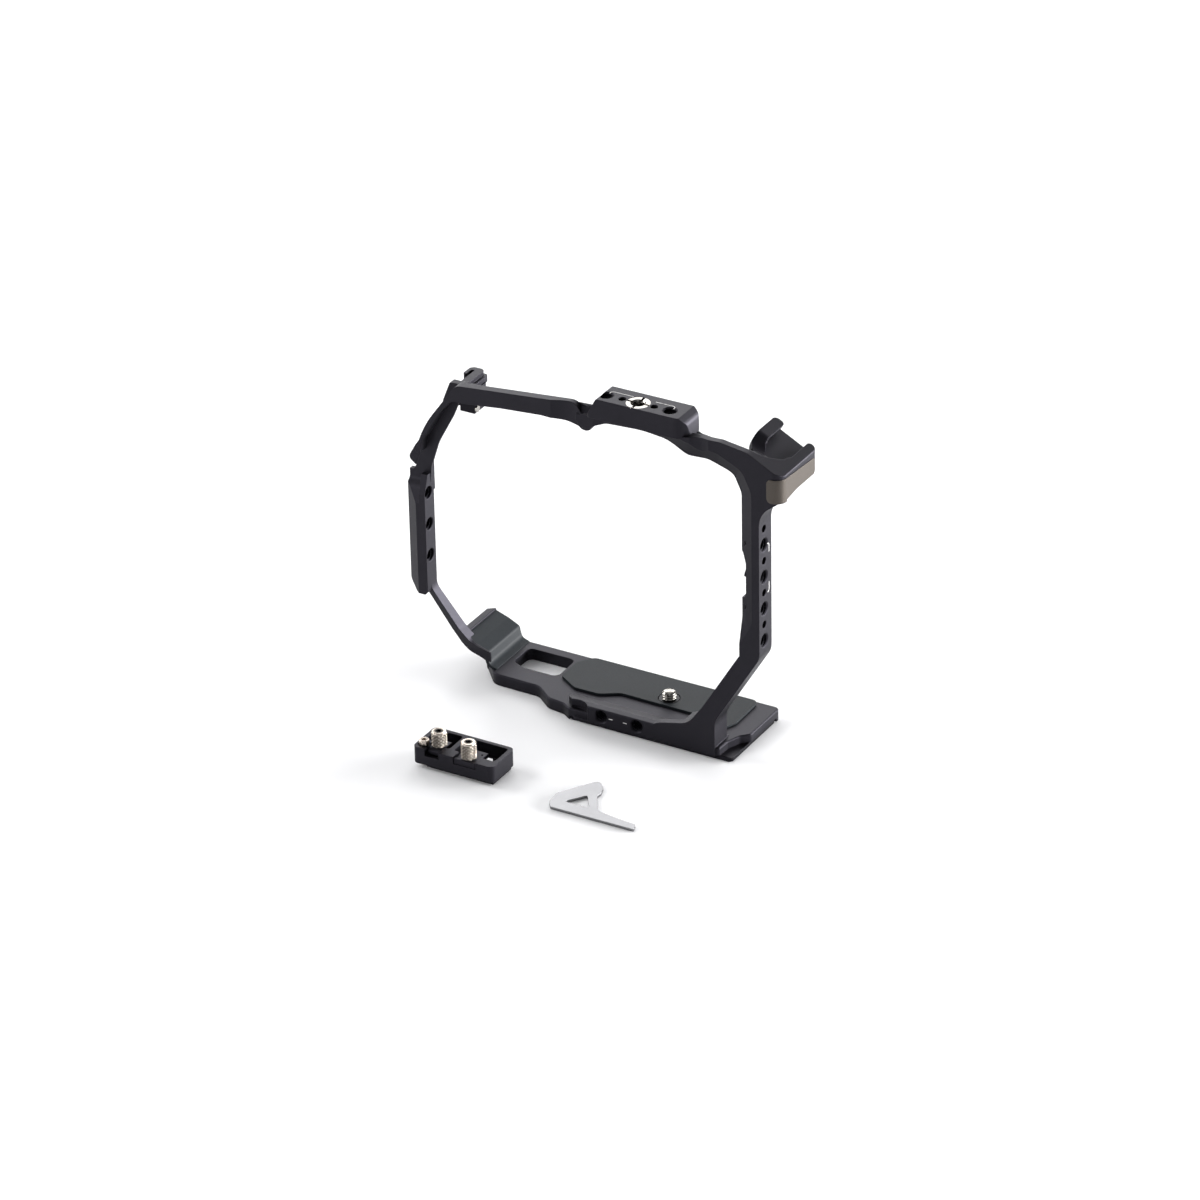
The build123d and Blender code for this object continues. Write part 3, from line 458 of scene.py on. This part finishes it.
def makeLockKnob(name, node, body, x, y, bottom, top):
    dims, steps = lockKnob, lockKnob["diamonds"] * lockKnob["fineness"]
    neck = bottom - dims["neckTall"]
    profile = ((dims["shankR"], dims["shankBottom"]), (dims["shankR"], neck), (dims["neckR"], neck),
               (dims["neckR"], bottom), (dims["radius"] - dims["footInset"], bottom))
    rows = [turnedRow(radius, z, steps, (x, y)) for radius, z in profile]
    low, high = bottom + dims["knurlLift"], top - dims["band"] - dims["bandGap"]
    layers = int((high - low) / (dims["diamondTall"] / dims["fineness"]))
    for i in range(layers + 1):
        z = low + (high - low) * i / layers
        row = []
        for k in range(steps):
            angle = 2 * math.pi * k / steps
            radius = knurlRadius(angle, z - low)
            row.append((x + radius * math.cos(angle), y + radius * math.sin(angle), z))
        rows.append(row)
    rim = dims["radius"] - dims["crownInset"]
    for inset, drop in ((0.0, dims["band"]), *dims["crown"]):
        rows.append(turnedRow(rim - inset, top - drop, steps, (x, y)))
    apothem = dims["socketAcross"] / 2
    for depth in (0.0, dims["socketDepth"]):
        row = []
        for k in range(steps):
            angle = 2 * math.pi * k / steps
            reach = apothem / math.cos((angle + math.pi / 6) % (math.pi / 3) - math.pi / 6)
            row.append((x + reach * math.cos(angle), y + reach * math.sin(angle), top - depth))
        rows.append(row)
    verts, faces = ringRows(rows, steps)
    knob = meshPiece(name, verts, faces, knurledNickel, body)
    knob.data.set_sharp_from_angle(angle=math.radians(50))
    markGrooves(knob.data, (x, y), (low, high), top)
    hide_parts(node)
    return knob


makeLockKnob("usb_knob_knurled", "usb_knob", "usb_knob_set",
             -64.4 * mm, -86.0 * mm, 9.5 * mm, 16.3 * mm)
makeLockKnob("hdmi_knob_knurled", "hdmi_knob", "hdmi_knob_set",
             -48.2 * mm, -88.6 * mm, 9.1 * mm, 16.7 * mm)
print("lock knobs knurled")


# Laser-marked lines: a column mark is (name, first z, way it runs, length)

marking = dict(
    width=0.38 * mm, height=0.03 * mm, sunk=0.05 * mm, curl=1.3 * mm, arcSteps=6,
    topRow=-18.9 * mm, columnRow=-18.6 * mm, columnWidth=0.3 * mm, columnDrop=1.4 * mm,
    columnMarks=(("upper", 102.4 * mm, 1, 4.4 * mm), ("lower", 88.2 * mm, -1, 4.6 * mm)),
    dashX=(-13.6 * mm, -6.6 * mm), dashHalf=0.95 * mm, dashWidth=0.36 * mm,
)


def markedLine(name, points, normal, width=marking["width"]):
    # flat ribbon along a path that lies on one face, a hair above it
    up = Vector(normal)
    path = [Vector(p) for p in points]
    verts, faces = [], []
    for i, point in enumerate(path):
        ahead = path[min(i + 1, len(path) - 1)] - path[max(i - 1, 0)]
        side = up.cross(ahead).normalized() * (width / 2)
        for offset in (-side, side):
            for lift in (-marking["sunk"], marking["height"]):
                verts.append(point + offset + up * lift)
    for i in range(len(path) - 1):
        a, b = 4 * i, 4 * (i + 1)
        for first, second in ((0, 1), (1, 3), (3, 2), (2, 0)):
            faces.append((a + first, a + second, b + second, b + first))
    last = 4 * (len(path) - 1)
    faces += [(0, 2, 3, 1), (last, last + 1, last + 3, last + 2)]
    return meshPiece(name, verts, faces, laserMarked, "cage", smooth=False)


def curledEnd(start, along, inward, run, drop):
    # straight run that turns a rounded corner and drops off the line
    start, along, inward = Vector(start), Vector(along), Vector(inward)
    radius, steps = marking["curl"], marking["arcSteps"]
    points = [start]
    corner = start + along * (run - radius)
    for i in range(steps + 1):
        angle = math.pi / 2 * i / steps
        turn = along * radius * math.sin(angle) + inward * radius * (1 - math.cos(angle))
        points.append(corner + turn)
    points.append(points[-1] + inward * (drop - radius))
    return points


def markTopBlock():
    row, face = marking["topRow"], cage["topFace"]
    left = curledEnd((-4.4 * mm, row, face), (-1, 0, 0), (0, -1, 0), 10.6 * mm, 2.0 * mm)
    right = curledEnd((6.2 * mm, row, face), (1, 0, 0), (0, -1, 0), 9.6 * mm, 2.2 * mm)
    markedLine("top_mark_left", left, (0, 0, 1))
    markedLine("top_mark_right", right, (0, 0, 1))


def markColumn():
    for name, z, way, run in marking["columnMarks"]:
        start = (cage["columnFace"], marking["columnRow"], z)
        points = curledEnd(start, (0, 0, way), (0, -1, 0), run, marking["columnDrop"])
        markedLine(f"column_mark_{name}", points, (1, 0, 0), marking["columnWidth"])


def markRail():
    for i, x in enumerate(marking["dashX"]):
        ends = (x - marking["dashHalf"], x + marking["dashHalf"])
        points = [(end, cage["railFace"], cage["railZ"]) for end in ends]
        markedLine(f"rail_dash_{i + 1}", points, (0, -1, 0), marking["dashWidth"])


markTopBlock()
markColumn()
markRail()
print("laser marking laid on")


# Floor, light and camera: a softbox is (place, size, watts)

studio = dict(
    floorColours=("#f7f7f8", "#f9f9fa"), floorSize=6.0, floorGap=0.2 * mm, paperScale=6.0,
    roomColour="#e8ecf4", roomStrength=0.07, aim=(-0.02, -0.03, 0.07),
    softboxes=dict(
        low_right_strip=((2.0, 0.6, 0.20), (0.8, 0.35), 62),
        right_rear_strip=((1.6, 1.5, 0.30), (1.4, 0.6), 104),
        back_left_box=((-0.9, 1.5, 0.95), (2.0, 1.5), 35),
        high_back_box=((0.35, 1.5, 1.35), (0.8, 0.8), 1.5),
        overhead_box=((0.0, 0.1, 1.6), (1.6, 1.6), 4),
        left_box=((-1.6, -0.2, 0.9), (0.9, 0.9), 20),
        front_left_box=((-0.9, -1.4, 0.7), (0.9, 0.7), 9.5),
        front_right_box=((0.9, -1.3, 1.2), (0.9, 0.9), 2),
    ))


def makeFloor():
    # coated white sweep: flat and even, with no sheen to speak of
    matte = {"Roughness": 0.9, "Specular IOR Level": 0.1}
    mat, principled = newMaterial("white_studio_sweep", matte)
    coords = addNode(mat, "ShaderNodeTexCoord")
    paper = addNode(mat, "ShaderNodeTexNoise", {"Scale": studio["paperScale"], "Detail": 1.0},
                    {"Vector": coords.outputs["Object"]})
    colour = blendedColour(mat, paper.outputs["Fac"], *studio["floorColours"])
    wire(mat, colour, principled.inputs["Base Color"])
    half = studio["floorSize"] / 2
    corners = [(-half, -half, 0), (half, -half, 0), (half, half, 0), (-half, half, 0)]
    mesh = bpy.data.meshes.new("studio_floor")
    mesh.from_pydata(corners, [], [(0, 1, 2, 3)])
    mesh.materials.append(mat)
    floor = bpy.data.objects.new("studio_floor", mesh)
    bpy.context.scene.collection.objects.link(floor)
    floor.location.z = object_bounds()[0][2] - studio["floorGap"]


def softbox(name, place, size, watts):
    light = bpy.data.lights.new(name, "AREA")
    light.shape = "RECTANGLE"
    light.size, light.size_y = size
    light.energy = watts
    lamp = bpy.data.objects.new(name, light)
    bpy.context.scene.collection.objects.link(lamp)
    lamp.location = place
    facing = Vector(studio["aim"]) - Vector(place)
    lamp.rotation_euler = facing.to_track_quat("-Z", "Y").to_euler()


def lightStudio():
    # white floor just short of clipping, and next to no fill from the room: black parts stay black
    world = bpy.data.worlds.new("dark_room")
    bpy.context.scene.world = world
    world.use_nodes = True
    background = world.node_tree.nodes["Background"]
    background.inputs["Color"].default_value = linear(studio["roomColour"])
    background.inputs["Strength"].default_value = studio["roomStrength"]
    bpy.context.scene.view_settings.view_transform = "Standard"
    for name, (place, size, watts) in studio["softboxes"].items():
        softbox(name, place, size, watts)


# angles in degrees; across and above slide the camera in its own plane, in metres
view = dict(azimuth=30.306, elevation=28.789, roll=-1.127, across=-0.030145, above=0.04797,
            distance=2.60332, lens=180.0, sensor=36.0, clip=(0.1, 30.0))


def placeCamera():
    azimuth, elevation, roll = (math.radians(view[key]) for key in ("azimuth", "elevation", "roll"))
    back = Vector((math.sin(azimuth) * math.cos(elevation),
                   -math.cos(azimuth) * math.cos(elevation), math.sin(elevation)))
    level = Vector((math.cos(azimuth), math.sin(azimuth), 0))
    upright = back.cross(level)
    right = level * math.cos(roll) + upright * math.sin(roll)
    up = upright * math.cos(roll) - level * math.sin(roll)
    data = bpy.data.cameras.new("product_camera")
    data.lens, data.sensor_width, data.sensor_fit = view["lens"], view["sensor"], "HORIZONTAL"
    data.clip_start, data.clip_end = view["clip"]
    camera = bpy.data.objects.new("product_camera", data)
    bpy.context.scene.collection.objects.link(camera)
    turn = Matrix((right, up, back)).transposed().to_4x4()
    place = right * view["across"] + up * view["above"] + back * view["distance"]
    camera.matrix_world = Matrix.Translation(place) @ turn
    bpy.context.scene.camera = camera


makeFloor()
lightStudio()
placeCamera()
print("floor, softboxes and camera placed")
